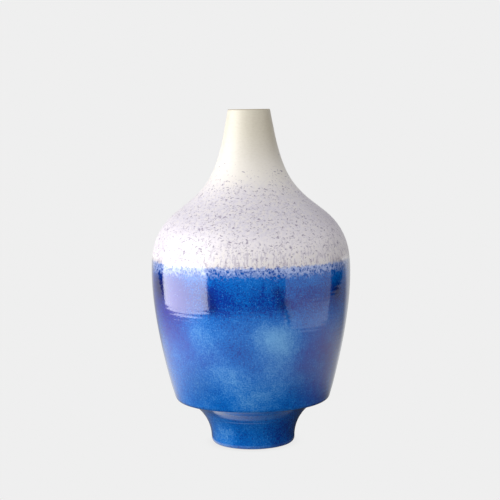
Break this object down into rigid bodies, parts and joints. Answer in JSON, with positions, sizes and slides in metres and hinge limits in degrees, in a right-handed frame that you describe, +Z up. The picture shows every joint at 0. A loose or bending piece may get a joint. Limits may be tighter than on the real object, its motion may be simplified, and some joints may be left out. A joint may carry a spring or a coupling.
{
  "type": "vase",
  "caption": "Wheel-thrown stoneware bottle vase with a narrow flared neck, domed cream shoulder, tapering cobalt body and small hollow pedestal foot.",
  "frame": {"origin": "centre of the foot's standing face, on the table", "axes": "+Z up along the pot's axis from foot to mouth; X and Y are level, and the pot is round about Z"},
  "size_m": [0.1956, 0.1956, 0.33],
  "materials": {
    "foot_clay": "bare fired stoneware, fine turning marks",
    "body_clay": "fired stoneware under glaze",
    "joining_slip": "fired luting slip",
    "cobalt_glaze": "glossy cobalt blue with lighter clouds",
    "cream_glaze": "satin cream, lavender and speckled towards the glaze line",
    "liner_glaze": "glossy off-white liner"
  },
  "bodies": {
    "root": {"foot": "foot_clay", "foot_slip_ring": "joining_slip", "lower_body": "body_clay", "belly_slip_ring": "joining_slip", "shoulder": "body_clay", "neck_slip_ring": "joining_slip", "neck": "body_clay", "cobalt_glaze": "cobalt_glaze", "cream_glaze": "cream_glaze", "liner_glaze": "liner_glaze"}
  },
  "joints": []
}
